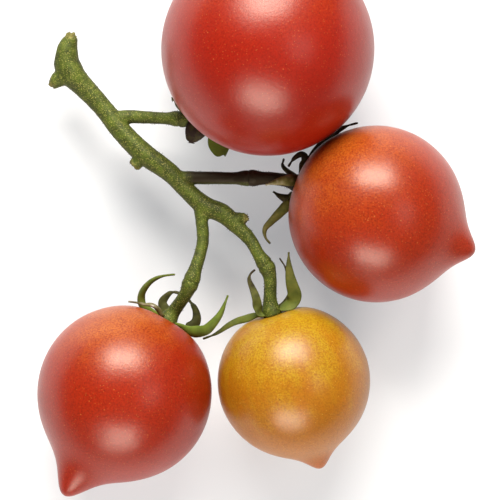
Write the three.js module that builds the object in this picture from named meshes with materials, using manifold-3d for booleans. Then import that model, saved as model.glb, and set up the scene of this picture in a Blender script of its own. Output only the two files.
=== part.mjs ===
// A truss of four small pointed tomatoes, lying as picked on a flat surface.
//
// One green truss stem forks towards four fruits. Each fruit hangs on a short stalk that starts at
// the knuckle, the swollen joint where a ripe tomato snaps off, and ends in a ring of sepals.
// Units are millimetres and degrees, +Z is up, and the surface it lies on is Z = 0. Plan positions
// are measured from the fork of the stem; the finished truss is then centred over the origin.

import * as THREE from "three";
import { mergeVertices } from "three/addons/utils/BufferGeometryUtils.js";
import Module from "manifold-3d";

const wasm = await Module();
wasm.setup();

// ---------------------------------------------------------------- driving sizes

const CLEARANCE = 0.3; // left between two pieces that meet
const RESTING_PRESS = 0.35; // how far a fruit's skin flattens where it rests

const FRUIT_SIDES = 24;
const FRUIT_RINGS = 20;
const RING_CROWDING = 0.55; // 0 spaces the rings evenly, 1 crowds them at the two ends
const DIMPLE = { depth: 1.5, radius: 5.5 }; // the hollow that the stalk sits in

const STALK = { neck: 1.4, collar: 2.2, collarLength: 1.8, sides: 12, steps: 12 };
const KNUCKLE = { swell: 0.6, spread: 1.7, edge: 0.9 }; // edge: rounding of the snapping face

const STEM = { sides: 12, stepsPerSpan: 3 };

// A sepal's flat side leans upwards by `lean` at each step, so that a curled one shows its face.
const SEPAL = { thickness: 0.75, cup: 0.22, lean: 0.12, sides: 8, steps: 11, tipWidth: 0.32 };

// Each fruit: width across the body, stretch along its axis, how far its tip stands out, and the
// angle in radians over which the tip flares into the body. seat is the plan position of its stem
// end; bearing and pitch say where its tip points. The knuckle and the way-points of the sepals
// are measured from the seat.
const FRUITS = {
  left: {
    width: 38.8,
    stretch: 0.01,
    tip: 6.6,
    tipSpread: 0.13,
    seat: [-7.2, -25.0],
    bearing: 239.5,
    pitch: 10,
    knuckle: [5.6, 9.2, 2.6],
    sepals: [
      {
        width: 1.8,
        path: [
          [-2.8, 2.1, -2.7],
          [-5.0, 3.4, -2.5],
          [-5.6, 5.7, -1.9],
          [-4.7, 7.8, -0.4],
          [-3.1, 9.4, 1.1],
          [-0.9, 10.4, 2.4],
          [1.9, 10.8, 3.4],
        ],
      },
      {
        width: 1.2,
        path: [
          [-1.4, 2.6, 2.4],
          [-2.6, 3.9, 3.7],
          [-3.9, 4.2, 4.3],
          [-5.3, 3.8, 4.5],
          [-6.6, 3.8, 4.6],
          [-8.1, 3.9, 4.6],
        ],
      },
      {
        width: 1.7,
        path: [
          [0.2, 1.6, -3.4],
          [-0.9, 4.5, -3.9],
          [0.1, 6.0, -3.9],
          [1.3, 6.8, -3.8],
          [2.8, 6.6, -3.8],
        ],
      },
      {
        width: 1.8,
        path: [
          [4.6, -1.4, -2.5],
          [6.6, 0.2, -3.1],
          [6.6, 2.5, -3.5],
          [5.6, 4.3, -3.8],
          [4.3, 5.6, -4.0],
        ],
      },
      {
        width: 2.4,
        path: [
          [4.4, -1.9, 0.9],
          [7.1, -1.8, 2.1],
          [8.9, -1.4, 2.9],
          [10.6, 0.2, 3.6],
          [12.1, 2.2, 4.1],
          [13.0, 4.3, 4.4],
          [13.7, 6.1, 4.6],
        ],
      },
    ],
  },
  orange: {
    width: 34.0,
    stretch: 0.0,
    tip: 3.5,
    tipSpread: 0.115,
    seat: [16.4, -23.1],
    bearing: 287.5,
    pitch: -5,
    knuckle: [-1.6, 11.0, 1.1],
    sepals: [
      {
        width: 2.0,
        path: [
          [-3.2, 1.2, 1.5],
          [-3.7, 3.8, 2.3],
          [-4.6, 6.2, 2.3],
          [-5.2, 7.9, 2.8],
          [-4.9, 9.0, 3.0],
          [-4.0, 9.9, 3.3],
        ],
      },
      {
        width: 1.6,
        path: [
          [-3.0, -0.3, -0.2],
          [-4.6, -0.7, -0.6],
          [-6.8, -1.1, -0.9],
          [-9.3, -2.1, -1.0],
          [-12.5, -4.2, -1.0],
          [-15.3, -5.3, -1.0],
        ],
      },
      {
        width: 3.1,
        path: [
          [2.9, 1.5, 0.8],
          [4.3, 2.8, 1.0],
          [4.8, 4.6, 1.5],
          [4.2, 6.8, 2.0],
          [3.7, 9.3, 2.5],
          [3.5, 11.8, 3.0],
          [3.5, 13.7, 3.3],
        ],
      },
      {
        width: 1.8,
        path: [
          [2.2, 1.6, -2.6],
          [3.9, 4.5, -3.0],
          [3.5, 7.6, -2.8],
          [2.9, 10.3, -2.4],
          [1.6, 12.4, -1.8],
        ],
      },
      {
        width: 1.9,
        path: [
          [-1.2, 1.4, -3.4],
          [-2.0, 0.6, -6.2],
          [-2.4, -1.4, -8.5],
        ],
      },
    ],
  },
  right: {
    width: 39.2,
    stretch: 0.0,
    tip: 4.2,
    tipSpread: 0.125,
    seat: [22.9, 5.6],
    bearing: 338.5,
    pitch: 15,
    knuckle: [-11.6, 1.5, 1.9],
    sepals: [
      {
        width: 1.9,
        path: [
          [0.2, 3.2, 0.9],
          [0.8, 5.8, 0.8],
          [-0.1, 6.8, 1.5],
          [-1.7, 5.9, 2.0],
          [-3.0, 4.1, 2.0],
        ],
      },
      {
        width: 1.6,
        path: [
          [-0.4, 1.3, -3.1],
          [-2.6, 2.8, -3.7],
          [-4.2, 4.4, -3.1],
          [-4.0, 5.8, -1.6],
        ],
      },
      {
        width: 2.4,
        path: [
          [-1.3, 1.0, 2.8],
          [-2.8, 1.0, 4.2],
          [-4.5, 0.8, 4.9],
          [-6.4, 0.4, 5.1],
          [-8.0, 0.0, 5.0],
        ],
      },
      {
        width: 2.6,
        path: [
          [-0.9, -2.0, -2.8],
          [-2.8, -3.0, -3.5],
          [-4.8, -2.4, -3.4],
          [-6.3, -1.4, -3.3],
        ],
      },
      {
        width: 2.3,
        path: [
          [-1.2, -3.3, -0.2],
          [-3.2, -4.5, 0.5],
          [-4.9, -6.2, 1.0],
          [-6.7, -8.0, 1.5],
          [-8.2, -9.8, 2.0],
          [-8.1, -11.6, 2.5],
          [-7.1, -12.9, 2.5],
        ],
      },
      {
        width: 2.0,
        path: [
          [1.9, 3.1, -2.0],
          [4.1, 7.0, -1.8],
          [6.2, 9.9, -0.5],
          [8.0, 11.6, 1.5],
          [10.0, 12.4, 4.0],
          [12.1, 13.0, 6.0],
        ],
      },
    ],
  },
  top: {
    width: 47.1,
    stretch: 0.0,
    tip: 6.0,
    tipSpread: 0.13,
    seat: [3.5, 20.1],
    bearing: 52.3,
    pitch: 30,
    knuckle: [-7.8, 0.4, -0.6],
    sepals: [
      {
        width: 2.4,
        path: [
          [-2.6, 3.0, 0.9],
          [-5.9, 4.4, 2.0],
          [-8.1, 4.6, 3.0],
          [-9.8, 4.4, 3.4],
        ],
      },
      {
        width: 2.5,
        path: [
          [-2.8, -0.6, 1.2],
          [-4.2, -2.4, 1.6],
          [-5.0, -4.2, 1.2],
          [-5.2, -5.4, 0.9],
        ],
      },
      {
        width: 2.3,
        path: [
          [1.9, -2.8, 0.3],
          [1.6, -4.8, 0.5],
          [2.1, -6.2, 0.5],
          [3.3, -6.9, 0.4],
        ],
      },
      {
        width: 2.2,
        path: [
          [2.9, -0.8, -2.2],
          [5.6, -1.6, -3.8],
          [8.0, -1.8, -5.4],
        ],
      },
      {
        width: 2.2,
        path: [
          [1.0, 2.9, -1.6],
          [1.4, 5.2, -3.2],
          [1.0, 7.2, -4.6],
        ],
      },
    ],
  },
};

// Pairs of fruits that lie against each other; the second of a pair makes room for the first.
const NEIGHBOURS = [
  ["top", "right"],
  ["left", "orange"],
  ["right", "orange"],
];
const MAKING_ROOM = 12; // rounds, as one pair's shift can close up another pair

// The stem's routes: plan position and height of the centre line, then its radius there. Every
// route but the heel's horns and the stubs ends at the knuckle of the fruit that it is named for.
const ROUTES = {
  orange: [
    [-29.8, 33.3, 11.2, 2.77],
    [-28.3, 30.4, 11.4, 2.87],
    [-26.1, 28.0, 11.2, 2.41],
    [-21.6, 23.2, 11.4, 2.1],
    [-17.1, 17.5, 12.4, 2.24],
    [-12.0, 12.4, 13.6, 2.39],
    [-6.6, 8.6, 14.4, 2.13],
    [-2.7, 4.5, 15.2, 1.87],
    [1.6, 0.8, 15.9, 2.19],
    [5.2, -0.6, 16.7, 2.14],
    [8.4, -3.4, 17.6, 1.8],
    [11.5, -6.6, 18.6, 1.41],
    [13.2, -9.6, 19.3, 1.3],
  ],
  left: [
    [0.5, 1.0, 15.8, 1.61],
    [0.7, -2.1, 16.2, 1.41],
    [1.0, -6.6, 17.0, 1.31],
    [0.4, -9.6, 17.7, 1.31],
    [-0.6, -12.8, 18.4, 1.4],
  ],
  right: [
    [-5.6, 7.1, 14.4, 1.62],
    [-2.1, 7.2, 14.8, 1.46],
    [1.4, 7.2, 15.2, 1.41],
    [7.0, 7.1, 15.7, 1.36],
  ],
  top: [
    [-19.5, 20.4, 11.9, 1.64],
    [-15.8, 20.9, 11.6, 1.53],
    [-12.0, 20.8, 11.3, 1.37],
    [-7.7, 20.6, 11.0, 1.31],
  ],
};
const STUBS = [
  [
    [-12.0, 12.2, 13.5, 1.93],
    [-13.4, 10.9, 13.4, 1.47],
    [-14.3, 10.1, 13.3, 1.42],
  ],
  [
    [7.3, -2.4, 17.3, 1.94],
    [9.3, -1.9, 17.4, 1.49],
    [11.1, -1.5, 17.5, 1.05],
  ],
];

// The heel is the sliver of the vine that tore off with the truss: two horns and one flat side.
const HEEL_HORNS = [
  [
    [-29.2, 31.2, 11.2, 2.77],
    [-29.6, 33.1, 11.3, 2.77],
    [-29.3, 36.2, 11.6, 2.25],
    [-28.6, 38.2, 11.9, 1.64],
    [-28.4, 39.3, 12.1, 0.82],
  ],
  [
    [-28.2, 31.2, 11.2, 2.66],
    [-29.3, 30.4, 11.2, 2.25],
    [-31.1, 29.5, 11.2, 1.84],
    [-32.6, 28.6, 11.2, 1.54],
    [-33.3, 28.2, 11.2, 0.72],
  ],
];
const HEEL_CUT = { at: [-31.9, 34.5, 11.2], bearing: 168, size: 40 };

// ---------------------------------------------------------------- materials

const skin = (color) => new THREE.MeshStandardMaterial({ color, roughness: 0.25, metalness: 0 });
const green = (color) => new THREE.MeshStandardMaterial({ color, roughness: 0.7, metalness: 0 });
const RED_SKIN = skin(0xb3220f);
const ORANGE_SKIN = skin(0xd07d12);
const STEM_GREEN = green(0x6c7f2a);
const SEPAL_GREEN = green(0x74862b);

// ---------------------------------------------------------------- solids

// A closed geometry as a manifold-3d solid.
function solid(geometry) {
  const bare = geometry.index ? geometry.toNonIndexed() : geometry.clone();
  bare.deleteAttribute("normal");
  bare.deleteAttribute("uv");
  const merged = mergeVertices(bare, 1e-4);
  return new wasm.Manifold(
    new wasm.Mesh({
      numProp: 3,
      vertProperties: merged.attributes.position.array,
      triVerts: new Uint32Array(merged.index.array),
    }),
  );
}

// A manifold-3d solid as a three.js geometry.
function geometryOf(manifold) {
  const { numProp, vertProperties, triVerts } = manifold.getMesh();
  const positions = new Float32Array((vertProperties.length / numProp) * 3);
  for (let i = 0; i < positions.length / 3; i++) {
    positions.set(vertProperties.subarray(i * numProp, i * numProp + 3), i * 3);
  }
  return new THREE.BufferGeometry()
    .setAttribute("position", new THREE.BufferAttribute(positions, 3))
    .setIndex(new THREE.BufferAttribute(triVerts, 1));
}

// A cylinder bent through stations. Each station has a centre, the directions across and up its
// section, and a section function that turns a point of the unit circle into [across, up].
function sweep(stations, sides) {
  const last = stations.length - 1;
  const geometry = new THREE.CylinderGeometry(1, 1, 1, sides, last);
  const position = geometry.attributes.position;
  for (let i = 0; i < position.count; i++) {
    const { centre, across, up, section } = stations[Math.round((position.getY(i) + 0.5) * last)];
    const [a, u] = section(position.getX(i), position.getZ(i));
    const point = centre.clone().addScaledVector(across, a).addScaledVector(up, u);
    position.setXYZ(i, point.x, point.y, point.z);
  }
  return geometry;
}

// The stations of a limb along a curve with one radius each; its sections keep one side level.
function limbStations(points, tangents, radii) {
  return points.map((centre, i) => {
    const across = tangents[i].clone().cross(new THREE.Vector3(0, 0, 1)).normalize();
    const up = across.clone().cross(tangents[i]);
    return { centre, across, up, section: (x, z) => [x * radii[i], z * radii[i]] };
  });
}

// ---------------------------------------------------------------- fruits

// Distance from a fruit's centre to its skin; angle 0 is the stem end, PI the tip.
function skinRadius(fruit, angle) {
  const body = (fruit.width / 2) * (1 + fruit.stretch * Math.cos(angle) ** 2);
  const tip = fruit.tip / Math.cosh((Math.PI - angle) / fruit.tipSpread);
  const fromAxis = (angle * fruit.width) / 2;
  const dimple = DIMPLE.depth * Math.exp(-((fromAxis / DIMPLE.radius) ** 2));
  return body + tip - dimple;
}

function ringAngle(ring) {
  const share = ring / FRUIT_RINGS;
  return Math.PI * (share - (RING_CROWDING * Math.sin(2 * Math.PI * share)) / (2 * Math.PI));
}

// The point of the skin at an angle from the stem end, as [distance from the axis, height].
function skinPoint(fruit, angle) {
  const radius = skinRadius(fruit, angle);
  return [radius * Math.sin(angle), radius * Math.cos(angle)];
}

// Where a fruit lies: its own +Z runs out of its stem end, its +X to its upper side. It rests on
// the surface, so its height follows from its shape and pitch.
function placeFruit(fruit) {
  const bearing = THREE.MathUtils.degToRad(fruit.bearing);
  const pitch = THREE.MathUtils.degToRad(fruit.pitch);
  const outward = new THREE.Vector3(
    -Math.cos(bearing) * Math.cos(pitch),
    -Math.sin(bearing) * Math.cos(pitch),
    -Math.sin(pitch),
  );
  const upper = new THREE.Vector3(0, 0, 1).addScaledVector(outward, -outward.z).normalize();
  const side = outward.clone().cross(upper);
  let lowest = 0;
  for (let ring = 0; ring <= FRUIT_RINGS; ring++) {
    const [fromAxis, height] = skinPoint(fruit, ringAngle(ring));
    lowest = Math.min(lowest, height * outward.z - fromAxis * Math.hypot(outward.x, outward.y));
  }
  const seatDistance = skinRadius(fruit, 0);
  const centre = new THREE.Vector3(
    fruit.seat[0] - outward.x * seatDistance,
    fruit.seat[1] - outward.y * seatDistance,
    -lowest - RESTING_PRESS,
  );
  const turn = new THREE.Quaternion().setFromRotationMatrix(
    new THREE.Matrix4().makeBasis(upper, side, outward),
  );
  return { ...fruit, centre, turn, outward, seatDistance };
}

// Slides the second fruit away from the first until their bodies are a clearance apart.
function keepApart(first, second) {
  const between = second.centre.clone().sub(first.centre);
  const reach = (fruit) => (fruit.width / 2) * (1 + fruit.stretch);
  const needed = reach(first) + reach(second) + CLEARANCE;
  const level = Math.hypot(between.x, between.y);
  const neededLevel = Math.sqrt(Math.max(needed ** 2 - between.z ** 2, 0));
  if (level >= neededLevel) return;
  const push = (neededLevel - level) / level;
  second.centre.x += between.x * push;
  second.centre.y += between.y * push;
}

function fruitMesh(name, fruit) {
  const profile = [];
  for (let ring = FRUIT_RINGS; ring >= 0; ring--) {
    const [fromAxis, height] = skinPoint(fruit, ringAngle(ring));
    const onAxis = ring === 0 || ring === FRUIT_RINGS;
    profile.push(new THREE.Vector2(onAxis ? 0 : fromAxis, height));
  }
  const body = new THREE.LatheGeometry(profile, FRUIT_SIDES).rotateX(Math.PI / 2);
  const mesh = new THREE.Mesh(body, name === "orange" ? ORANGE_SKIN : RED_SKIN);
  mesh.name = "tomato_" + name;
  mesh.position.copy(fruit.centre);
  mesh.quaternion.copy(fruit.turn);
  mesh.updateMatrix();
  const block = fruit.width * 2;
  const surface = new THREE.BoxGeometry(block, block, block)
    .translate(fruit.centre.x, fruit.centre.y, -block / 2)
    .applyMatrix4(mesh.matrix.clone().invert());
  mesh.geometry = geometryOf(solid(body).subtract(solid(surface)));
  return mesh;
}

// ---------------------------------------------------------------- stalks

const seatOf = (fruit) => fruit.centre.clone().addScaledVector(fruit.outward, fruit.seatDistance);
const knuckleOf = (fruit) => seatOf(fruit).add(new THREE.Vector3(...fruit.knuckle));

// How much a limb swells at a distance from the snapping face of its knuckle.
const knuckleSwell = (distance) => KNUCKLE.swell * Math.exp(-((distance / KNUCKLE.spread) ** 2));

// The centre line and radii of the short stalk from the knuckle to the collar with the sepals.
function stalkOf(fruit, arriving) {
  const seat = seatOf(fruit).addScaledVector(fruit.outward, CLEARANCE * 1.8);
  const start = knuckleOf(fruit).addScaledVector(arriving, CLEARANCE / 2);
  const reach = start.distanceTo(seat) * 0.36;
  const curve = new THREE.CubicBezierCurve3(
    start,
    start.clone().addScaledVector(arriving, reach),
    seat.clone().addScaledVector(fruit.outward, reach),
    seat,
  );
  const shares = Array.from({ length: STALK.steps + 1 }, (_, i) => i / STALK.steps);
  const points = shares.map((share) => curve.getPointAt(share));
  const tangents = shares.map((share) => curve.getTangentAt(share));
  const length = curve.getLength();
  const radii = shares.map((share) => {
    const flare = Math.exp(-(((1 - share) * length / STALK.collarLength) ** 2));
    const radius = STALK.neck + (STALK.collar - STALK.neck) * flare + knuckleSwell(share * length);
    return share === 0 ? radius * KNUCKLE.edge : radius;
  });
  return { points, tangents, radii };
}

function stalkMesh(name, { points, tangents, radii }) {
  const mesh = new THREE.Mesh(sweep(limbStations(points, tangents, radii), STALK.sides), STEM_GREEN);
  mesh.name = name;
  return mesh;
}

// ---------------------------------------------------------------- sepals

// Moves a point straight away from a centre until it is far enough.
function pushOut(point, centre, distance) {
  const away = point.clone().sub(centre);
  if (away.length() < distance) point.copy(centre).add(away.setLength(distance));
}

function clearStalk(point, stalk, room) {
  stalk.points.forEach((centre, i) => pushOut(point, centre, stalk.radii[i] + room));
}

function clearSkins(point, room) {
  for (const fruit of Object.values(fruits)) {
    const angle = point.clone().sub(fruit.centre).angleTo(fruit.outward);
    pushOut(point, fruit.centre, skinRadius(fruit, angle) + room);
  }
}

// A sepal's width at a share of its length: a waist at the root, widest at a third, a point.
function sepalWidth(sepal, share) {
  const swell = 0.72 + 0.28 * Math.sin(Math.PI * Math.min(share * 1.5 + 0.05, 0.5));
  const taper = (1 - share ** 1.7) ** 0.9;
  return Math.max(sepal.width * swell * taper, SEPAL.tipWidth);
}

// A blade along the sepal's way-points. It starts at the edge of the stalk's collar with its flat
// side facing along the stalk, and keeps clear of the fruits all the way.
function sepalMesh(name, fruit, sepal, stalk) {
  const seat = seatOf(fruit);
  const way = sepal.path.map((offset) => new THREE.Vector3(...offset).add(seat));
  const leaving = way[0].clone().sub(seat).projectOnPlane(fruit.outward).normalize();
  const root = seat.addScaledVector(leaving, STALK.collar + CLEARANCE);
  const room = CLEARANCE + SEPAL.thickness / 2 + SEPAL.cup / 2;
  const points = new THREE.CatmullRomCurve3([root, ...way]).getSpacedPoints(SEPAL.steps);
  points.forEach((point, i) => {
    if (i > 0) clearStalk(point, stalk, room);
    clearSkins(point, room);
  });
  const up = fruit.outward.clone();
  const stations = points.map((centre, i) => {
    const before = points[Math.max(i - 1, 0)];
    const after = points[Math.min(i + 1, SEPAL.steps)];
    const along = after.clone().sub(before).normalize();
    up.lerp(new THREE.Vector3(0, 0, 1), SEPAL.lean).projectOnPlane(along).normalize();
    const across = along.clone().cross(up);
    const share = i / SEPAL.steps;
    const width = sepalWidth(sepal, share);
    const thickness = SEPAL.thickness * (1 - 0.5 * share);
    const cup = SEPAL.cup * (1 - share);
    const section = (x, z) => [(x * width) / 2, (z * thickness) / 2 + cup * (x * x - 0.5)];
    return { centre, across, up: up.clone(), section };
  });
  const mesh = new THREE.Mesh(sweep(stations, SEPAL.sides), SEPAL_GREEN);
  mesh.name = name;
  return mesh;
}

// ---------------------------------------------------------------- truss stem

// A limb through [x, y, z, radius] points. With a knuckle, it ends there in a swollen face.
function limb(route, knuckle) {
  const ends = knuckle ? [...route, [...knuckle.toArray(), route.at(-1)[3]]] : route;
  const curve = new THREE.CatmullRomCurve3(ends.map(([x, y, z]) => new THREE.Vector3(x, y, z)));
  const steps = (ends.length - 1) * STEM.stepsPerSpan;
  const shares = Array.from({ length: steps + 1 }, (_, i) => i / steps);
  const points = shares.map((share) => curve.getPoint(share));
  const tangents = shares.map((share) => curve.getTangent(share));
  if (knuckle) points[steps].addScaledVector(tangents[steps], -CLEARANCE / 2);
  const radii = points.map((point, i) => {
    const span = Math.min(Math.floor(i / STEM.stepsPerSpan), ends.length - 2);
    const radius = THREE.MathUtils.lerp(ends[span][3], ends[span + 1][3], i / STEM.stepsPerSpan - span);
    if (!knuckle) return radius;
    const swollen = radius + knuckleSwell(point.distanceTo(points[steps]));
    return i === steps ? swollen * KNUCKLE.edge : swollen;
  });
  const geometry = sweep(limbStations(points, tangents, radii), STEM.sides);
  return { geometry, arriving: tangents[steps] };
}

function stemMesh(limbs) {
  const bearing = THREE.MathUtils.degToRad(HEEL_CUT.bearing);
  const offcut = new THREE.BoxGeometry(HEEL_CUT.size, HEEL_CUT.size, HEEL_CUT.size)
    .translate(HEEL_CUT.size / 2, 0, 0)
    .rotateZ(bearing)
    .translate(...HEEL_CUT.at);
  const joined = limbs.map(solid).reduce((whole, piece) => whole.add(piece));
  const mesh = new THREE.Mesh(geometryOf(joined.subtract(solid(offcut))), STEM_GREEN);
  mesh.name = "truss_stem";
  return mesh;
}

// ---------------------------------------------------------------- the truss

const fruits = Object.fromEntries(
  Object.entries(FRUITS).map(([name, fruit]) => [name, placeFruit(fruit)]),
);
for (let round = 0; round < MAKING_ROOM; round++) {
  NEIGHBOURS.forEach(([first, second]) => keepApart(fruits[first], fruits[second]));
}

const truss = new THREE.Group();
const stemLimbs = [...STUBS, ...HEEL_HORNS].map((route) => limb(route).geometry);

for (const [name, fruit] of Object.entries(fruits)) {
  truss.add(fruitMesh(name, fruit));
  const branch = limb(ROUTES[name], knuckleOf(fruit));
  stemLimbs.push(branch.geometry);
  const stalk = stalkOf(fruit, branch.arriving);
  truss.add(stalkMesh("fruit_stalk_" + name, stalk));
  fruit.sepals.forEach((sepal, i) => {
    truss.add(sepalMesh("sepal_" + name + "_" + (i + 1), fruit, sepal, stalk));
  });
}
truss.add(stemMesh(stemLimbs));

// Centred over its footprint, standing on Z = 0.
const footprint = new THREE.Box3().setFromObject(truss, true);
const middle = footprint.getCenter(new THREE.Vector3());
truss.position.set(-middle.x, -middle.y, -footprint.min.z);

export default truss;
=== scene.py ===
# %% [markdown]
# # A truss of four small pointed tomatoes
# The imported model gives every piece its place. This lesson replaces each plain piece with a finished
# one in the same place: four fruits, a forked stem, four stalks and twenty-one sepals. Everything is
# one rigid thing, so every piece rides on the one body, "root".

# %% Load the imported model
import math
import random
import bmesh
import bpy
from mathutils import Matrix, Vector, noise


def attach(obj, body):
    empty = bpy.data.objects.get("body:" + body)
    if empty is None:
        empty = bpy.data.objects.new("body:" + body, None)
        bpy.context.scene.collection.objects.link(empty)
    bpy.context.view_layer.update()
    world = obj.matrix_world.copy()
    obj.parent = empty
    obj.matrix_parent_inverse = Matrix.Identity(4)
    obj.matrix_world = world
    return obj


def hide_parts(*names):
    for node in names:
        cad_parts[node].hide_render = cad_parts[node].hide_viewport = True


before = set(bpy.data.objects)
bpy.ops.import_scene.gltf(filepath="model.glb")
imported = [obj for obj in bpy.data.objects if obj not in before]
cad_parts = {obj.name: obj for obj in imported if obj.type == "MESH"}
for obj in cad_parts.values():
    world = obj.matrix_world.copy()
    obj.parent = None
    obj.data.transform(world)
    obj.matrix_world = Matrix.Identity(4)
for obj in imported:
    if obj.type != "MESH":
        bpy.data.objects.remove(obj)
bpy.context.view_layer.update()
MM = 0.001
print("pieces in the frame:", len(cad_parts))

# %% [markdown]
# ## Camera, floor and light
# A flat lay is seen from straight above with a long lens, so round things stay round at the edge of
# the frame. The light comes from two soft boxes: a strong one beyond the top of the frame and a
# weaker one beyond its foot, with two dim helpers. Each box shows as one highlight on a fruit, and
# between them the skin keeps its own colour, because nothing bright hangs right above it.

# %% Camera
lens = bpy.data.cameras.new("flat_lay_camera")
lens.lens, lens.sensor_width = 200, 36
lens.clip_start, lens.clip_end = 0.05, 20
camera = bpy.data.objects.new("flat_lay_camera", lens)
camera.location = Vector((-1.15, -6.79, 631)) * MM
bpy.context.scene.collection.objects.link(camera)
bpy.context.scene.camera = camera
bpy.context.scene.view_settings.view_transform = "Standard"
print("camera height in mm:", round(camera.location.z / MM))


# %% Helpers for nodes
def add_node(tree, kind, **settings):
    made = tree.nodes.new(kind)
    for key, value in settings.items():
        if hasattr(made, key) and key not in made.inputs:
            setattr(made, key, value)
        else:
            made.inputs[key].default_value = value
    return made


def wire(tree, *pairs):
    for source, target in pairs:
        tree.links.new(source, target)


def new_material(name):
    material = bpy.data.materials.new(name)
    material.use_nodes = True
    tree = material.node_tree
    return material, tree, tree.nodes["Principled BSDF"]


print("helpers made:", add_node.__name__, wire.__name__, new_material.__name__)


# %% Floor of pale matt board
FLOOR_HALF_WIDTH = 3.0
FLOOR_DROP = 0.0002  # metres under the fruits, so that the two surfaces don't flicker
FLOOR_GREY = (0.56, 0.56, 0.56, 1)
FLOOR_GLOW = {"colour": (0.87, 0.95, 1.0, 1), "strength": 0.36}  # light that the room sends back up


def make_floor():
    bm = bmesh.new()
    bmesh.ops.create_grid(bm, x_segments=8, y_segments=8, size=FLOOR_HALF_WIDTH)
    bmesh.ops.translate(bm, verts=bm.verts, vec=(0, 0, -FLOOR_DROP))
    mesh = bpy.data.meshes.new("floor")
    bm.to_mesh(mesh)
    bm.free()
    floor = bpy.data.objects.new("floor", mesh)
    bpy.context.scene.collection.objects.link(floor)
    material, tree, shader = new_material("pale_board")
    shader.inputs["Base Color"].default_value = FLOOR_GREY
    shader.inputs["Emission Color"].default_value = FLOOR_GLOW["colour"]
    shader.inputs["Emission Strength"].default_value = FLOOR_GLOW["strength"]
    place = add_node(tree, "ShaderNodeTexCoord")
    fibre = add_node(tree, "ShaderNodeTexNoise", Scale=900.0, Detail=3.0)
    bump = add_node(tree, "ShaderNodeBump", Strength=0.02, Distance=0.0001)
    rough = add_node(tree, "ShaderNodeMapRange")
    rough.inputs["To Min"].default_value = 0.75
    rough.inputs["To Max"].default_value = 0.9
    wire(tree, (place.outputs["Object"], fibre.inputs["Vector"]),
         (fibre.outputs["Fac"], bump.inputs["Height"]), (bump.outputs["Normal"], shader.inputs["Normal"]),
         (fibre.outputs["Fac"], rough.inputs["Value"]), (rough.outputs["Result"], shader.inputs["Roughness"]))
    mesh.materials.append(material)
    return floor


floor = make_floor()
print("floor corners:", len(floor.data.vertices))


# %% Two soft boxes, two dim helpers and a dim room
LAMP_DISTANCE = 1.2
ROOM_STRENGTH = 0.12


def soft_box(name, elevation, compass, width, height, radiance, tint=(1, 1, 1)):
    light = bpy.data.lights.new(name, "AREA")
    light.shape = "RECTANGLE"
    light.size, light.size_y = width, height
    light.energy = radiance * math.pi * width * height
    light.color = tint
    up, turn = math.radians(elevation), math.radians(compass)
    away = Vector((math.sin(turn) * math.cos(up), math.cos(turn) * math.cos(up), math.sin(up)))
    lamp = bpy.data.objects.new(name, light)
    lamp.location = away * LAMP_DISTANCE
    lamp.rotation_euler = away.to_track_quat("Z", "Y").to_euler()
    bpy.context.scene.collection.objects.link(lamp)
    return lamp


key = soft_box("key_soft_box", elevation=42.5, compass=-2, width=0.87, height=0.54, radiance=19.2, tint=(1, 0.97, 0.92))
spill = soft_box("key_spill", elevation=26, compass=0, width=0.7, height=0.3, radiance=3.5)
side = soft_box("side_soft_box", elevation=56, compass=90, width=0.5, height=0.4, radiance=2.5)
fill = soft_box("fill_soft_box", elevation=33, compass=186, width=0.74, height=0.56, radiance=10.4, tint=(1, 0.9, 0.84))
world = bpy.data.worlds.new("dim_room")
bpy.context.scene.world = world
world.use_nodes = True
world.node_tree.nodes["Background"].inputs["Color"].default_value = (1, 1, 1, 1)
world.node_tree.nodes["Background"].inputs["Strength"].default_value = ROOM_STRENGTH
print("lights:", key.name, spill.name, side.name, fill.name)

# %% [markdown]
# ## The four fruits
# Each fruit is a ball with a shallow dimple at the stem end and a drawn-out point at the other. It
# could be sculpted, but a grown round thing is closest to one profile turned about its axis. So the
# profile is drawn once, spun in fine steps, given slow swells as a grown fruit has, and pressed flat
# where it rests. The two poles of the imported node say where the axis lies.

# %% Measure the axis of a packed fruit
FORM = {
    "left": {"width": 38.8, "stretch": 0.01, "tip": 6.6, "spread": 0.13},
    "orange": {"width": 34.0, "stretch": 0.0, "tip": 3.5, "spread": 0.115},
    "right": {"width": 39.2, "stretch": 0.0, "tip": 4.2, "spread": 0.125},
    "top": {"width": 47.1, "stretch": 0.0, "tip": 6.0, "spread": 0.13},
}
DIMPLE = {"depth": 1.5, "radius": 5.5}
PALE_AND_LIT_SIDE = {  # the way that the orange shoulder of each fruit faces: partly its less ripe side, partly a painted highlight tint on the side that faces the key light
    "left": (-0.05, 0.9, 0.42),
    "orange": (-0.2, 0.85, 0.45),
    "right": (-0.45, 0.8, 0.4),
    "top": (0, 0.9, 0.45),
}


def merged_copy(node_name):
    bm = bmesh.new()
    bm.from_mesh(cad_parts[node_name].data)
    bmesh.ops.scale(bm, verts=bm.verts, vec=(1 / MM, 1 / MM, 1 / MM))
    bmesh.ops.remove_doubles(bm, verts=bm.verts, dist=0.002)
    return bm


def radius_at(form, angle):
    half = form["width"] / 2
    point = form["tip"] / math.cosh((math.pi - angle) / form["spread"])
    dimple = DIMPLE["depth"] * math.exp(-((angle * half / DIMPLE["radius"]) ** 2))
    return half * (1 + form["stretch"] * math.cos(angle) ** 2) + point - dimple


def axis_of(name):
    bm = merged_copy("tomato_" + name)
    poles = sorted(bm.verts, key=lambda v: -len(v.link_edges))[:2]
    middle = sum((v.co for v in bm.verts), Vector()) / len(bm.verts)
    places = sorted((v.co.copy() for v in poles), key=lambda co: (co - middle).length)
    bm.free()
    stem_end, tip_end = places
    along = (tip_end - stem_end).normalized()
    return stem_end + along * radius_at(FORM[name], 0), along


for name in FORM:
    centre, along = axis_of(name)
    print(name, "centre mm", [round(c, 1) for c in centre], "axis", [round(c, 2) for c in along])


# %% [markdown]
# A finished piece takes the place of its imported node. It rides on the body and keeps its origin at
# the centre of the frame, so nothing has to be moved afterwards.

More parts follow.
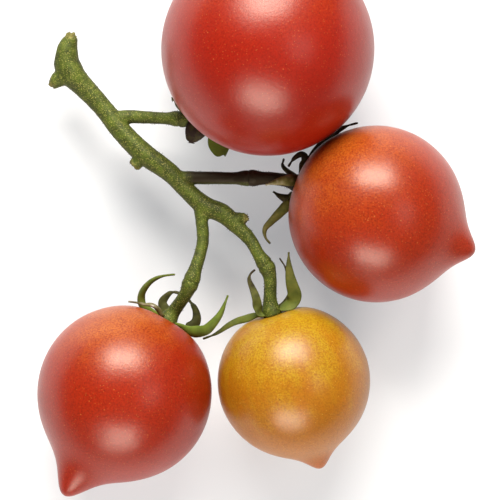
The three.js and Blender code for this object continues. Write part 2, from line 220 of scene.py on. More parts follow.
# %% Finish a bmesh as an object that rides on the body
def finish_piece(bm, name, material, node_names, slot):
    bmesh.ops.scale(bm, verts=bm.verts, vec=(MM, MM, MM))
    for face in bm.faces:
        face.smooth = True
    mesh = bpy.data.meshes.new(name)
    bm.to_mesh(mesh)
    bm.free()
    mesh.materials.append(material)
    piece = bpy.data.objects.new(name, mesh)
    bpy.context.scene.collection.objects.link(piece)
    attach(piece, "root")
    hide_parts(*node_names)
    return piece


print("helper made:", finish_piece.__name__)


# %% Spin the profile of a fruit
SWELLING = {"inset": 0.16, "ribs": 0.2, "swell": 0.22, "dents": 0.05}  # millimetres
RIPPLES = {"ribs": 2.2, "swell": 0.05, "dents": 0.16}  # how fine the noise of each is
RING_CROWDING = 0.099  # 0 spaces the rings evenly, more crowds them at the two ends


def fruit_shape(name, rings=110, steps=144):
    form = FORM[name]
    centre, along = axis_of(name)
    bm = bmesh.new()
    far = bm.verts.layers.float.new("from_stem_end")
    near = bm.verts.layers.float.new("from_shoulder_and_lit_side")
    lines = bm.verts.layers.float_vector.new("skin_lines")
    chain = []
    for step in range(rings + 1):
        share = step / rings
        angle = math.pi * (share - RING_CROWDING * math.sin(2 * math.pi * share))
        reach = radius_at(form, angle)
        chain.append(bm.verts.new((reach * math.sin(angle), 0, -reach * math.cos(angle))))
    for first, second in zip(chain, chain[1:]):
        bm.edges.new((first, second))
    bmesh.ops.spin(bm, geom=bm.verts[:] + bm.edges[:], cent=(0, 0, 0), axis=(0, 0, 1),
                   dvec=(0, 0, 0), angle=2 * math.pi, steps=steps, use_merge=True)
    bmesh.ops.remove_doubles(bm, verts=bm.verts, dist=0.0005)
    bmesh.ops.recalc_face_normals(bm, faces=bm.faces)
    seed = Vector((len(name) * 7.3, form["width"], form["tip"] * 3))
    for v in bm.verts:
        angle = math.atan2(math.hypot(v.co.x, v.co.y), -v.co.z)
        turn = Vector((v.co.x, v.co.y, 0))
        turn = turn.normalized() if turn.length > 1e-6 else Vector((1, 0, 0))
        v[far] = angle / math.pi
        v[lines] = turn
        ribs = noise.noise(turn * RIPPLES["ribs"] + seed) * math.sin(angle) ** 2
        swell = noise.noise(v.co * RIPPLES["swell"] + seed)
        dents = noise.noise(v.co * RIPPLES["dents"] - seed) * math.sin(angle)
        drop = SWELLING["inset"] + SWELLING["ribs"] * ribs + SWELLING["swell"] * swell + SWELLING["dents"] * dents
        v.co -= v.co.normalized() * drop
    frame_of = along.to_track_quat("Z", "Y").to_matrix().to_4x4()
    bmesh.ops.transform(bm, matrix=Matrix.Translation(centre) @ frame_of, verts=bm.verts)
    pale_side = Vector(PALE_AND_LIT_SIDE[name])
    for v in bm.verts:
        v[near] = (v.co - centre).angle(pale_side) / math.pi
        v.co.z = max(v.co.z, 0.0)
    return bm


trial = fruit_shape("left")
print("corners in one fruit:", len(trial.verts), "lowest mm", round(min(v.co.z for v in trial.verts), 3))
trial.free()

# %% [markdown]
# ### The skin
# A ripe skin is a clear wax over coloured flesh: nearly smooth, with hundreds of tiny golden dots
# and a few dark pinholes, and a slow change of colour from the shoulder to the point. The orange of
# the shoulder is partly the fruit's own colour and partly painted light: a warmer tint on the side
# that faces the key light. The dots and the fine relief are the same on every fruit, so they are one
# node group. Each fruit has a material of its own with its own colours, because no two ripen alike.


# %% Node group that sprinkles small dots over a surface
def sprinkle_group():
    group = bpy.data.node_groups.new("sprinkled_dots", "ShaderNodeTree")
    group.interface.new_socket("Place", in_out="INPUT", socket_type="NodeSocketVector")
    for label in ("Dots per metre", "Size", "Share"):
        group.interface.new_socket(label, in_out="INPUT", socket_type="NodeSocketFloat")
    group.interface.new_socket("Dots", in_out="OUTPUT", socket_type="NodeSocketFloat")
    inside = add_node(group, "NodeGroupInput")
    outside = add_node(group, "NodeGroupOutput")
    cells = add_node(group, "ShaderNodeTexVoronoi")
    core = add_node(group, "ShaderNodeMath", operation="MULTIPLY")
    core.inputs[1].default_value = 0.35
    near = add_node(group, "ShaderNodeMapRange")
    chosen = add_node(group, "ShaderNodeSeparateColor")
    few = add_node(group, "ShaderNodeMath", operation="LESS_THAN")
    both = add_node(group, "ShaderNodeMath", operation="MULTIPLY")
    wire(group, (inside.outputs["Place"], cells.inputs["Vector"]),
         (inside.outputs["Dots per metre"], cells.inputs["Scale"]),
         (inside.outputs["Size"], near.inputs["From Min"]), (inside.outputs["Size"], core.inputs[0]),
         (core.outputs["Value"], near.inputs["From Max"]), (cells.outputs["Distance"], near.inputs["Value"]),
         (cells.outputs["Color"], chosen.inputs["Color"]), (chosen.outputs["Red"], few.inputs[0]),
         (inside.outputs["Share"], few.inputs[1]), (near.outputs["Result"], both.inputs[0]),
         (few.outputs["Value"], both.inputs[1]), (both.outputs["Value"], outside.inputs["Dots"]))
    return group


SPRINKLE = sprinkle_group()


def sprinkle(tree, place, spacing, size, share):  # spacing and size in millimetres
    dots = add_node(tree, "ShaderNodeGroup")
    dots.node_tree = SPRINKLE
    dots.inputs["Dots per metre"].default_value = 1 / (spacing * MM)
    dots.inputs["Size"].default_value = size / spacing
    dots.inputs["Share"].default_value = share
    tree.links.new(place, dots.inputs["Place"])
    return dots.outputs["Dots"]


print("sprinkled dots take:", [s.name for s in SPRINKLE.interface.items_tree if s.in_out == "INPUT"])


# %% Node group for the dots and relief of the skin
def skin_detail_group():
    group = bpy.data.node_groups.new("skin_detail", "ShaderNodeTree")
    for label in ("Place", "Lines"):
        group.interface.new_socket(label, in_out="INPUT", socket_type="NodeSocketVector")
    group.interface.new_socket("Along", in_out="INPUT", socket_type="NodeSocketFloat")
    for label in ("Dots", "Pinholes", "Streaks", "Clouds", "Relief", "Grain", "Roughness"):
        group.interface.new_socket(label, in_out="OUTPUT", socket_type="NodeSocketFloat")
    inside = add_node(group, "NodeGroupInput")
    outside = add_node(group, "NodeGroupOutput")
    place = inside.outputs["Place"]
    small = sprinkle(group, place, spacing=0.65, size=0.125, share=0.7)
    large = sprinkle(group, place, spacing=1.8, size=0.2, share=0.45)
    holes = sprinkle(group, place, spacing=2.6, size=0.18, share=0.35)
    either = add_node(group, "ShaderNodeMath", operation="MAXIMUM")
    wire(group, (small, either.inputs[0]), (large, either.inputs[1]), (either.outputs["Value"], outside.inputs["Dots"]),
         (holes, outside.inputs["Pinholes"]))
    stretch = add_node(group, "ShaderNodeVectorMath", operation="SCALE")
    stretch.inputs["Scale"].default_value = 4.0
    slow = add_node(group, "ShaderNodeMath", operation="MULTIPLY")
    slow.inputs[1].default_value = 3.0
    lift = add_node(group, "ShaderNodeCombineXYZ")
    joined = add_node(group, "ShaderNodeVectorMath", operation="ADD")
    streak = add_node(group, "ShaderNodeTexNoise", Scale=1.6, Detail=3.0, Roughness=0.5)
    wire(group, (inside.outputs["Lines"], stretch.inputs[0]), (inside.outputs["Along"], slow.inputs[0]),
         (slow.outputs["Value"], lift.inputs["Z"]), (stretch.outputs["Vector"], joined.inputs[0]),
         (lift.outputs["Vector"], joined.inputs[1]), (joined.outputs["Vector"], streak.inputs["Vector"]),
         (streak.outputs["Fac"], outside.inputs["Streaks"]))
    cloud = add_node(group, "ShaderNodeTexNoise", Scale=170.0, Detail=3.0, Roughness=0.5)
    wax = add_node(group, "ShaderNodeTexNoise", Scale=1100.0, Detail=4.0, Roughness=0.7)
    grain = add_node(group, "ShaderNodeTexNoise", Scale=2600.0, Detail=2.0)
    rough = add_node(group, "ShaderNodeMapRange")
    rough.inputs["To Min"].default_value = 0.27
    rough.inputs["To Max"].default_value = 0.4
    wire(group, (place, cloud.inputs["Vector"]), (place, wax.inputs["Vector"]), (place, grain.inputs["Vector"]),
         (grain.outputs["Fac"], outside.inputs["Grain"]),
         (cloud.outputs["Fac"], outside.inputs["Clouds"]), (wax.outputs["Fac"], outside.inputs["Relief"]),
         (cloud.outputs["Fac"], rough.inputs["Value"]), (rough.outputs["Result"], outside.inputs["Roughness"]))
    return group


SKIN_DETAIL = skin_detail_group()
print("outputs of the skin group:", [s.name for s in SKIN_DETAIL.interface.items_tree if s.in_out == "OUTPUT"])


# %% Helpers that mix colours
def mix_colours(tree, share, first, second):
    made = add_node(tree, "ShaderNodeMix", data_type="RGBA")
    for socket, value in ((made.inputs[6], first), (made.inputs[7], second)):
        if isinstance(value, tuple):
            socket.default_value = (*value, 1)
        else:
            tree.links.new(value, socket)
    if isinstance(share, float):
        made.inputs[0].default_value = share
    else:
        tree.links.new(share, made.inputs[0])
    return made.outputs[2]


def ramp(tree, value, stops):
    made = add_node(tree, "ShaderNodeValToRGB")
    made.color_ramp.interpolation = "B_SPLINE" if len(stops) > 3 else "EASE"
    spots = made.color_ramp.elements
    for spot, (place, colour) in zip([spots[0], spots[1]] + [spots.new(0.5) for _ in stops[2:]], stops):
        spot.position = place
        spot.color = (*colour, 1)
    tree.links.new(value, made.inputs["Fac"])
    return made.outputs["Color"]


def maths(tree, operation, first, second):
    made = add_node(tree, "ShaderNodeMath", operation=operation)
    for socket, value in zip(made.inputs, (first, second)):
        if isinstance(value, (int, float)):
            socket.default_value = value
        else:
            tree.links.new(value, socket)
    return made.outputs["Value"]


def scaled(tree, value, factor, offset, clamp=False):
    made = add_node(tree, "ShaderNodeMath", operation="MULTIPLY_ADD", use_clamp=clamp)
    made.inputs[1].default_value = factor
    made.inputs[2].default_value = offset
    tree.links.new(value, made.inputs[0])
    return made.outputs["Value"]


print("helpers made:", mix_colours.__name__, ramp.__name__, maths.__name__, scaled.__name__)


# %% One skin material for each fruit
# the shoulder colour is partly the fruit's own and partly a painted highlight tint on the side facing the key light
SKINS = {
    "left": {"body": (0.335, 0.0175, 0.002), "shoulder_and_highlight_tint": (0.48, 0.13, 0.013), "point": (0.34, 0.02, 0.008),
             "reach": 0.33, "wander": 0.09, "dots": (0.6, 0.2, 0.04), "grain": 0.55},
    "orange": {"body": (0.41, 0.14, 0.003), "shoulder_and_highlight_tint": (0.47, 0.31, 0.012), "point": (0.42, 0.09, 0.01),
               "reach": 0.55, "wander": 0.45, "dots": (0.66, 0.42, 0.08), "grain": 0.62},
    "right": {"body": (0.33, 0.021, 0.002), "shoulder_and_highlight_tint": (0.46, 0.11, 0.009), "point": (0.33, 0.03, 0.012),
              "reach": 0.44, "wander": 0.14, "dots": (0.6, 0.2, 0.05), "grain": 0.55},
    "top": {"body": (0.325, 0.0105, 0.002), "shoulder_and_highlight_tint": (0.43, 0.06, 0.008), "point": (0.34, 0.02, 0.008),
            "reach": 0.4, "wander": 0.08, "dots": (0.6, 0.16, 0.04), "grain": 0.65},
}
PINHOLE_BROWN = (0.08, 0.015, 0.004)
POINT_FROM, POINT_TO = 0.86, 0.99  # where the colour of the point sets in and is full
DOTS_SHOW, PINHOLES_SHOW = 0.5, 0.8


def skin_material(name):
    colours = SKINS[name]
    material, tree, shader = new_material("skin_" + name)
    place = add_node(tree, "ShaderNodeTexCoord")
    along = add_node(tree, "ShaderNodeAttribute", attribute_name="from_stem_end")
    lines = add_node(tree, "ShaderNodeAttribute", attribute_name="skin_lines")
    detail = add_node(tree, "ShaderNodeGroup")
    detail.node_tree = SKIN_DETAIL
    wire(tree, (place.outputs["Object"], detail.inputs["Place"]), (lines.outputs["Vector"], detail.inputs["Lines"]),
         (along.outputs["Fac"], detail.inputs["Along"]))
    # painted highlight: the shoulder colour is laid on the side that faces the key light, partly the fruit's own paler
    # shoulder and partly a warm tint standing in for light
    near = add_node(tree, "ShaderNodeAttribute", attribute_name="from_shoulder_and_lit_side")
    mottle = maths(tree, "ADD", detail.outputs["Streaks"], detail.outputs["Clouds"])
    wander = scaled(tree, mottle, colours["wander"], -colours["wander"])
    ripening_and_light = maths(tree, "ADD", near.outputs["Fac"], wander)
    colour = ramp(tree, ripening_and_light, [(0.02, colours["shoulder_and_highlight_tint"]), (colours["reach"], colours["body"])])
    ending = ramp(tree, along.outputs["Fac"], [(POINT_FROM, (0, 0, 0)), (POINT_TO, (1, 1, 1))])
    colour = mix_colours(tree, ending, colour, colours["point"])
    shade = scaled(tree, detail.outputs["Clouds"], 0.5, 0.02)
    colour = mix_colours(tree, shade, colour, tuple(c * 0.75 for c in colours["body"]))
    grainy = scaled(tree, detail.outputs["Grain"], 2.6, -1.0, clamp=True)
    colour = mix_colours(tree, grainy, colour, tuple(c * colours["grain"] for c in colours["body"]))
    dotted = maths(tree, "MULTIPLY", detail.outputs["Dots"], DOTS_SHOW)
    colour = mix_colours(tree, dotted, colour, colours["dots"])
    holes = maths(tree, "MULTIPLY", detail.outputs["Pinholes"], PINHOLES_SHOW)
    colour = mix_colours(tree, holes, colour, PINHOLE_BROWN)
    bump = add_node(tree, "ShaderNodeBump", Strength=0.2, Distance=0.0002)
    wire(tree, (colour, shader.inputs["Base Color"]), (detail.outputs["Roughness"], shader.inputs["Roughness"]),
         (detail.outputs["Relief"], bump.inputs["Height"]), (bump.outputs["Normal"], shader.inputs["Normal"]))
    shader.inputs["IOR"].default_value = 1.5
    shader.inputs["Specular Tint"].default_value = (1, 0.9, 0.8, 1)
    shader.inputs["Subsurface Weight"].default_value = 0.12
    shader.inputs["Subsurface Radius"].default_value = (1.0, 0.25, 0.1)
    shader.inputs["Subsurface Scale"].default_value = 0.002
    return material


# %% Make the four fruits
for name in FORM:
    slot = "skin_orange" if name == "orange" else "skin_red"
    fruit = finish_piece(fruit_shape(name), "fruit_" + name, skin_material(name), ["tomato_" + name], slot)
    print(fruit.name, "faces:", len(fruit.data.polygons))

# %% [markdown]
# ## The stem and the stalks
# The stem is one forked green limb with swollen forks, torn ends and knuckles where each stalk comes
# off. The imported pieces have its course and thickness, so a merged copy of each is remeshed to an
# even skin and then smoothed. Slow noise makes it grown rather than turned, and stronger noise at
# the torn ends makes them ragged. Short hairs, seeded so that each run gives the same ones, stand
# on the skin as they do on every young tomato stem.


# %% Find the flat ends of a packed limb and push them out
def caps_of(bm, sides):
    bm.normal_update()
    found = []
    for v in bm.verts:
        if len(v.link_edges) == sides:
            normals = [face.normal for face in v.link_faces]
            if all(normal.dot(normals[0]) > 0.995 for normal in normals):
                found.append(v)
    return found


def push_cap(cap, reach):
    outward = cap.link_faces[0].normal.copy()
    ring = [edge.other_vert(cap) for edge in cap.link_edges]
    for v in [cap] + ring:
        v.co += outward * reach


bm = merged_copy("truss_stem")
print("flat ends of the stem:", len(caps_of(bm, 12)))
bm.free()


# %% Where the stem is browned and darkened with painted shade, torn or swollen, in millimetres
TORN_SPOTS = [  # place and reach
    ((-41.0, 41.6, 12.1), 2.6),
    ((-45.9, 30.2, 11.2), 2.4),
    ((-26.9, 12.1, 13.3), 2.0),
    ((-1.2, 0.5, 17.5), 2.8),
]
SWELLS = [  # place, reach and added thickness
    ((-41.4, 36.0, 11.3), 4.0, 0.3),
    ((-0.6, 0.6, 17.5), 3.2, -0.8),
]
# the right stalk is dried brown and darkened further by painted shade where the top fruit shades it; the top stalk gets
# some of the same
STALK_BROWNING_AND_SHADE = {"fruit_stalk_right": 1.0, "fruit_stalk_top": 0.35}
GREEN_BROWNING = 0.05
SHADED_DRY_BRANCH = {"from_x": -16.5, "over": 3.0, "from_y": 7.4}  # the dried brown branch, darkened further by painted shade where the top fruit shades it


def browning_and_shade_at(node_name, co):
    if node_name != "truss_stem":
        return STALK_BROWNING_AND_SHADE.get(node_name, GREEN_BROWNING)
    along = min(max((co.x - SHADED_DRY_BRANCH["from_x"]) / SHADED_DRY_BRANCH["over"], 0), 1)
    across = min(max(co.y - SHADED_DRY_BRANCH["from_y"], 0), 1)
    return along * across


def near_spot(co, spot, reach):
    return 1 - (co - Vector(spot)).length / reach


print("torn spots:", len(TORN_SPOTS), "swellings:", len(SWELLS))


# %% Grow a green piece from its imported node
CAP_PUSH = 0.24  # millimetres, as are the four below: what remeshing and smoothing take off an end
COLLAR_PUSH = 0.35  # and this much more where the stalk meets its fruit
SKIN_SWELL = 0.06
LUMPS = 0.06
RAGGED = 0.9


def grown_copy(node_name, voxel, seed):
    bm = merged_copy(node_name)
    for cap in caps_of(bm, 12):
        push_cap(cap, CAP_PUSH)
    if node_name.startswith("fruit_stalk_"):
        heart = axis_of(node_name[len("fruit_stalk_"):])[0]
        push_cap(min(caps_of(bm, 12), key=lambda cap: (cap.co - heart).length), COLLAR_PUSH)
    mesh = bpy.data.meshes.new("rough_" + node_name)
    bm.to_mesh(mesh)
    bm.free()
    draft = bpy.data.objects.new("rough_" + node_name, mesh)
    bpy.context.scene.collection.objects.link(draft)
    even = draft.modifiers.new("even_skin", "REMESH")
    even.mode, even.voxel_size = "VOXEL", voxel
    bpy.context.view_layer.update()
    solid = bpy.data.meshes.new_from_object(draft.evaluated_get(bpy.context.evaluated_depsgraph_get()))
    bpy.data.objects.remove(draft)
    bm = bmesh.new()
    bm.from_mesh(solid)
    bmesh.ops.recalc_face_normals(bm, faces=bm.faces)
    for _ in range(2):
        bmesh.ops.smooth_vert(bm, verts=bm.verts, factor=0.5, use_axis_x=True, use_axis_y=True, use_axis_z=True)
    bm.normal_update()
    start = Vector((seed, seed * 0.7, 0))
    brown_and_shade = bm.verts.layers.float.new("browning_and_shade")
    torn = bm.verts.layers.float.new("tearing")
    for v in bm.verts:
        v[brown_and_shade] = browning_and_shade_at(node_name, v.co)
        v[torn] = max(near_spot(v.co, spot, reach) for spot, reach in TORN_SPOTS)
        v.co += v.normal * sum(extra * max(0, near_spot(v.co, spot, reach)) for spot, reach, extra in SWELLS)
        slow = noise.noise(v.co * 0.35 + start)
        quick = noise.noise(v.co * 1.3 - start)
        fine = noise.noise(v.co * 3.1 + start)
        ragged = RAGGED * max(v[torn], 0) * noise.noise(v.co * 1.9 + start)
        v.co += v.normal * (SKIN_SWELL + LUMPS * (slow + 0.5 * quick + 0.3 * fine) + ragged)
    return bm


print("helper made:", grown_copy.__name__)


# %% Fine hairs, scattered with a fixed seed
HAIR = {"sides": 5, "lean": 0.6}
HAIR_MM = {"root": 0.05, "tip": 0.012, "shortest": 0.25, "longest": 0.5, "sunk": 0.08}


def add_hairs(bm, count, seed, lowest=0.0):
    chance = random.Random(seed)
    bm.normal_update()
    brown_and_shade = bm.verts.layers.float["browning_and_shade"]
    faces = [face for face in bm.faces if face.calc_center_median().z > lowest]
    faces = chance.sample(faces, min(count, len(faces)))
    spots = [(face.calc_center_median(), face.normal.copy(), face.verts[0][brown_and_shade]) for face in faces]
    for spot, normal, tone in spots:
        lean = Vector([chance.uniform(-HAIR["lean"], HAIR["lean"]) for _ in range(3)])
        length = chance.uniform(HAIR_MM["shortest"], HAIR_MM["longest"])
        along = (normal + lean).normalized()
        middle = spot + along * (length / 2 - HAIR_MM["sunk"])
        stand = Matrix.Translation(middle) @ along.to_track_quat("Z", "Y").to_matrix().to_4x4()
        made = bmesh.ops.create_cone(bm, cap_ends=True, segments=HAIR["sides"], radius1=HAIR_MM["root"],
                                     radius2=HAIR_MM["tip"], depth=length, matrix=stand)
        for v in made["verts"]:
            v[brown_and_shade] = tone
    return len(spots)


print("faces of one hair:", HAIR["sides"] + 2)


# %% Green skin of stem and stalks
GREEN_TONES = {
    "light": (0.09, 0.125, 0.013),
    "dark": (0.03, 0.042, 0.006),
    "specks": (0.44, 0.4, 0.1),
    "torn": (0.21, 0.185, 0.05),
    # painted shade: darkens the stem and stalks towards their edges as seen from the camera
    "painted_rim_shade": (0.03, 0.03, 0.006),
    # dried brown deepened with painted shade, for the branch and stalks under the top fruit
    "dry_brown_and_shade": (0.014, 0.007, 0.003),
}
GREEN_TONES["pits"] = tuple(c * 0.45 for c in GREEN_TONES["dark"])
PITS_SHOW, SPECKS_SHOW = 0.8, 0.95


def green_material(name):
    material, tree, shader = new_material(name)
    shader.inputs["Specular IOR Level"].default_value = 0.3
    shader.inputs["Specular Tint"].default_value = (1, 0.95, 0.7, 1)
    place = add_node(tree, "ShaderNodeTexCoord")
    patches = add_node(tree, "ShaderNodeTexNoise", Scale=420.0, Detail=5.0, Roughness=0.7)
    grain = add_node(tree, "ShaderNodeTexNoise", Scale=3500.0, Detail=4.0)
    bump = add_node(tree, "ShaderNodeBump", Strength=0.5, Distance=0.0001)
    colour = ramp(tree, patches.outputs["Fac"], [(0.3, GREEN_TONES["dark"]), (0.68, GREEN_TONES["light"])])
    brown_and_shade = add_node(tree, "ShaderNodeAttribute", attribute_name="browning_and_shade")
    torn = add_node(tree, "ShaderNodeAttribute", attribute_name="tearing")
    ragged = scaled(tree, patches.outputs["Fac"], 1.6, -0.55)
    edge = maths(tree, "ADD", torn.outputs["Fac"], ragged)
    bare = ramp(tree, edge, [(0.45, (0, 0, 0)), (0.85, (1, 1, 1))])
    colour = mix_colours(tree, bare, colour, GREEN_TONES["torn"])
    pits = sprinkle(tree, place.outputs["Object"], spacing=0.25, size=0.12, share=0.65)
    colour = mix_colours(tree, maths(tree, "MULTIPLY", pits, PITS_SHOW), colour, GREEN_TONES["pits"])
    specks = sprinkle(tree, place.outputs["Object"], spacing=0.24, size=0.1, share=0.5)
    colour = mix_colours(tree, maths(tree, "MULTIPLY", specks, SPECKS_SHOW), colour, GREEN_TONES["specks"])
    # painted shade: the stem and stalks are darkened towards their edges as seen from the camera
    painted_rim_shade = add_node(tree, "ShaderNodeLayerWeight", Blend=0.35)
    painted_rim_shade_share = maths(tree, "MULTIPLY", painted_rim_shade.outputs["Facing"], 0.75)
    colour = mix_colours(tree, painted_rim_shade_share, colour, GREEN_TONES["painted_rim_shade"])
    # dried brown mixed with painted shade on the right branch and stalks
    colour = mix_colours(tree, brown_and_shade.outputs["Fac"], colour, GREEN_TONES["dry_brown_and_shade"])
    rough = add_node(tree, "ShaderNodeMapRange")
    rough.inputs["To Min"].default_value = 0.5
    rough.inputs["To Max"].default_value = 0.7
    wire(tree, (place.outputs["Object"], patches.inputs["Vector"]),
         (place.outputs["Object"], grain.inputs["Vector"]),
         (colour, shader.inputs["Base Color"]), (grain.outputs["Fac"], bump.inputs["Height"]),
         (bump.outputs["Normal"], shader.inputs["Normal"]), (patches.outputs["Fac"], rough.inputs["Value"]),
         (rough.outputs["Result"], shader.inputs["Roughness"]))
    return material


STEM_GREEN = green_material("stem_green")
print("stem material:", STEM_GREEN.name)

# %% Make the stem and the four stalks
bm = grown_copy("truss_stem", voxel=0.28, seed=3.1)
hairs = add_hairs(bm, count=700, seed=5, lowest=9)
stem = finish_piece(bm, "forked_stem", STEM_GREEN, ["truss_stem"], "stem_green")
print("stem faces:", len(stem.data.polygons), "hairs:", hairs)
for number, name in enumerate(FORM):
    node_name = "fruit_stalk_" + name
    bm = grown_copy(node_name, voxel=0.22, seed=11.0 + number)
    hairs = add_hairs(bm, count=110, seed=20 + number)
    stalk = finish_piece(bm, "stalk_" + name, STEM_GREEN, [node_name], "stem_green")
    print(stalk.name, "faces:", len(stalk.data.polygons), "hairs:", hairs)

# %% [markdown]
# ## The sepals
# Each sepal is a narrow green blade, cupped along its middle, that dries to brown from its tip. The
# packed blades have the right course, so a merged copy of each turns its broad side up, gets its
# own width and has its sides rounded by subdivision. Two attributes say how dry and how dark the
# blade is drawn along its length, the darkness partly its own dark tissue and partly painted shade
# where it lies in shadow, so that all the sepals can share one material.

# %% How dry and how dark each sepal is, from root to tip; the darkness is partly its own and partly painted shade where it lies in shadow
# dryness from root to tip, then darkness from root to tip: partly dark tissue, partly painted shade on sepals in shadow
DRYING = {
    "left_1": (0.12, 0.3, 0.0, 0.15), "left_2": (0.7, 0.95, 0.2, 0.35), "left_3": (0.25, 0.45, 0.45, 0.75),
    "left_4": (0.25, 0.4, 0.7, 0.5), "left_5": (0.0, 0.12, 0.05, 0.2),
    "orange_1": (0.2, 0.5, 0.15, 0.95), "orange_2": (0.15, 0.4, 0.1, 0.55), "orange_3": (0.22, 0.55, 0.05, 0.45),
    "orange_4": (0.4, 0.7, 0.4, 0.85), "orange_5": (0.3, 0.5, 0.2, 0.4),
    "right_1": (0.5, 0.8, 0.7, 0.9), "right_2": (0.5, 0.7, 0.6, 0.9), "right_3": (0.6, 0.9, 0.25, 0.05),
    "right_4": (0.5, 0.6, 0.85, 0.8), "right_5": (0.4, 0.72, 0.15, 0.45), "right_6": (0.5, 0.7, 0.75, 0.85),
    "top_1": (0.45, 0.6, 0.3, 0.5), "top_2": (0.35, 0.5, 0.8, 0.95), "top_3": (0.05, 0.2, 0.0, 0.1),
    "top_4": (0.3, 0.5, 0.3, 0.5), "top_5": (0.3, 0.5, 0.3, 0.5),
}
print("sepals with a colour of their own:", len(DRYING))

# %% How much broader some of them have grown, and which end in a round lobe
USUAL_BREADTH = 1.2
BROADER = {"top_1": 1.5, "top_2": 2.0, "top_3": 2.2, "right_4": 1.25, "right_3": 1.3, "left_5": 1.35, "left_2": 1.0,
           "left_3": 1.7, "left_4": 1.8, "orange_4": 0.8}
ROUNDED = {"top_1": 1.2, "top_2": 1.4, "top_3": 3.0}
print("broader or narrower:", len(BROADER), "rounded:", len(ROUNDED))


# %% Turn the broad side of a blade up
TURNING = {"share": 0.85, "full_from": 0.35}  # how much of the turn is made, and from where on
THICKER = 1.6
STEEP = 0.25  # a blade this near to upright keeps the turn of the ring before
TIP_FROM, TIP_BACK = 0.8, 0.5  # a round tip is drawn back by this much, from there on


def turn_up(rings, wider, rounding):
    middles = [sum((v.co for v in ring), Vector()) / len(ring) for ring in rings]
    last_turn = 0.0
    for i in range(1, len(rings) - 1):
        ring, middle = rings[i], middles[i]
        along = (middles[i + 1] - middles[i - 1]).normalized()
        broad = max((v.co - middle for v in ring), key=lambda arm: arm.length)
        broad = (broad - along * broad.dot(along)).normalized()
        level = along.cross(Vector((0, 0, 1)))
        if level.length < STEEP:
            turn = last_turn
        else:
            level.normalize()
            turn = math.atan2(broad.cross(level).dot(along), broad.dot(level))
            turn += math.pi * round((last_turn - turn) / math.pi)
        last_turn = turn
        share = i / (len(rings) - 1)
        ease = min(share / TURNING["full_from"], 1.0)
        matrix = Matrix.Rotation(turn * TURNING["share"] * ease * ease * (3 - 2 * ease), 3, along)
        flat = along.cross(broad)
        full = wider * (1 + rounding * share * share)
        back = Vector()
        if rounding and share > TIP_FROM:
            back = (middles[int(len(rings) * TIP_FROM)] - middle) * TIP_BACK
        for v in ring:
            arm = v.co - middle
            arm += (flat * arm.dot(flat) * (THICKER - 1) + broad * arm.dot(broad) * (full - 1)) * ease
            v.co = middle + back + matrix @ arm
    if rounding:
        for v in rings[-1]:
            v.co = sum((other.co for other in rings[-2]), Vector()) / len(rings[-2])


print("helper made:", turn_up.__name__)


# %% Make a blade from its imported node
ROOT_PUSH = 0.5  # millimetres that the root reaches into the collar


def blade(node_name, dryness):
    bm = merged_copy(node_name)
    dry = bm.verts.layers.float.new("dryness")
    dark = bm.verts.layers.float.new("darkness_and_shade")
    fruit_name = node_name.split("_")[1]
    heart, along = axis_of(fruit_name)
    stem_end = heart - along * radius_at(FORM[fruit_name], 0)
    root = min(caps_of(bm, 8), key=lambda cap: (cap.co - stem_end).length)
    push_cap(root, ROOT_PUSH)
    depth = {root: 0}
    front = [root]
    while front:
        following = []
        for v in front:
            for edge in v.link_edges:
                other = edge.other_vert(v)
                if other not in depth:
                    depth[other] = depth[v] + 1
                    following.append(other)
        front = following
    deepest = max(depth.values())
    rings = [[v for v, steps in depth.items() if steps == level] for level in range(deepest + 1)]
    label = node_name[len("sepal_"):]
    turn_up(rings, BROADER.get(label, USUAL_BREADTH), rounding=ROUNDED.get(label, 0.0))
    for v, steps in depth.items():
        share = steps / deepest
        v[dry] = dryness[0] + (dryness[1] - dryness[0]) * share
        v[dark] = dryness[2] + (dryness[3] - dryness[2]) * share
    bmesh.ops.join_triangles(bm, faces=bm.faces, angle_face_threshold=0.6, angle_shape_threshold=3.1)
    return bm


def keep_width(piece, rounds=4):
    wanted = [v.co.copy() for v in piece.data.vertices]
    for _ in range(rounds):
        bpy.context.view_layer.update()
        shown = piece.evaluated_get(bpy.context.evaluated_depsgraph_get()).to_mesh()
        drift = [shown.vertices[i].co - place for i, place in enumerate(wanted)]
        for v, step in zip(piece.data.vertices, drift):
            v.co -= step
    piece.data.update()


print("helpers made:", blade.__name__, keep_width.__name__)


# %% Sepal skin, from green to dry
SEPAL_STAGES = [  # from fresh to dry
    (0.0, (0.12, 0.2, 0.02)),
    (0.35, (0.07, 0.12, 0.014)),
    (0.6, (0.12, 0.1, 0.02)),
    (0.95, (0.22, 0.185, 0.042)),
]
# dark tissue, and painted shade for sepals that lie in shadow
SEPAL_DARK_AND_SHADE = (0.024, 0.013, 0.011)


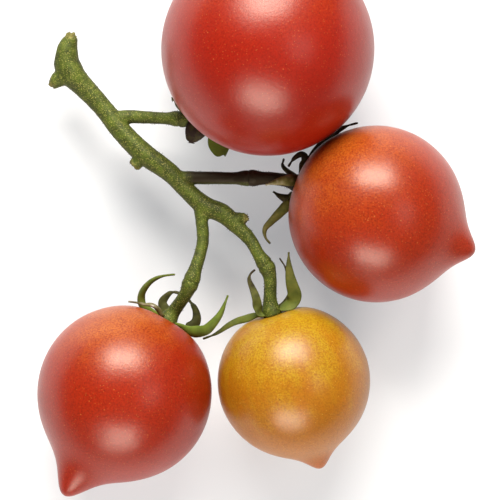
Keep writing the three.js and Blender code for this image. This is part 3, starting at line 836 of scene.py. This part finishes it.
def sepal_material():
    material, tree, shader = new_material("sepal_green")
    shader.inputs["Specular IOR Level"].default_value = 0.25
    shader.inputs["Specular Tint"].default_value = (1, 0.95, 0.75, 1)
    place = add_node(tree, "ShaderNodeTexCoord")
    dry = add_node(tree, "ShaderNodeAttribute", attribute_name="dryness")
    dark = add_node(tree, "ShaderNodeAttribute", attribute_name="darkness_and_shade")
    patches = add_node(tree, "ShaderNodeTexNoise", Scale=700.0, Detail=4.0)
    wander = scaled(tree, patches.outputs["Fac"], 0.7, -0.35)
    dryness = maths(tree, "ADD", dry.outputs["Fac"], wander)
    blotch = scaled(tree, patches.outputs["Fac"], -1.2, 0.6)
    # painted shade: the sepals are darkened towards their edges as seen from the camera
    painted_rim_shade = add_node(tree, "ShaderNodeLayerWeight", Blend=0.3)
    painted_rim_shade_share = maths(tree, "MULTIPLY", painted_rim_shade.outputs["Facing"], 0.5)
    darkness_and_shade = maths(tree, "ADD", maths(tree, "ADD", dark.outputs["Fac"], blotch), painted_rim_shade_share)
    darkness_and_shade.node.use_clamp = True
    colour = ramp(tree, dryness, SEPAL_STAGES)
    # partly dark tissue and partly painted shade, with painted shade towards the edges
    colour = mix_colours(tree, darkness_and_shade, colour, SEPAL_DARK_AND_SHADE)
    grain = add_node(tree, "ShaderNodeTexNoise", Scale=4500.0, Detail=3.0)
    bump = add_node(tree, "ShaderNodeBump", Strength=0.5, Distance=0.0001)
    rough = add_node(tree, "ShaderNodeMapRange")
    rough.inputs["To Min"].default_value = 0.45
    rough.inputs["To Max"].default_value = 0.75
    wire(tree, (place.outputs["Object"], patches.inputs["Vector"]), (place.outputs["Object"], grain.inputs["Vector"]),
         (colour, shader.inputs["Base Color"]), (grain.outputs["Fac"], bump.inputs["Height"]),
         (bump.outputs["Normal"], shader.inputs["Normal"]), (grain.outputs["Fac"], rough.inputs["Value"]),
         (rough.outputs["Result"], shader.inputs["Roughness"]))
    return material


SEPAL_SKIN = sepal_material()
print("sepal material:", SEPAL_SKIN.name)

# %% Make the sepals
sepal_nodes = sorted(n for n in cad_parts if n.startswith("sepal_"))
for node_name in sepal_nodes:
    label = node_name[len("sepal_"):]
    piece = finish_piece(blade(node_name, DRYING[label]), "blade_" + label, SEPAL_SKIN, [node_name], "sepal_green")
    round_off = piece.modifiers.new("round_off", "SUBSURF")
    round_off.levels = round_off.render_levels = 2
    keep_width(piece)
print("sepals made:", len(sepal_nodes))
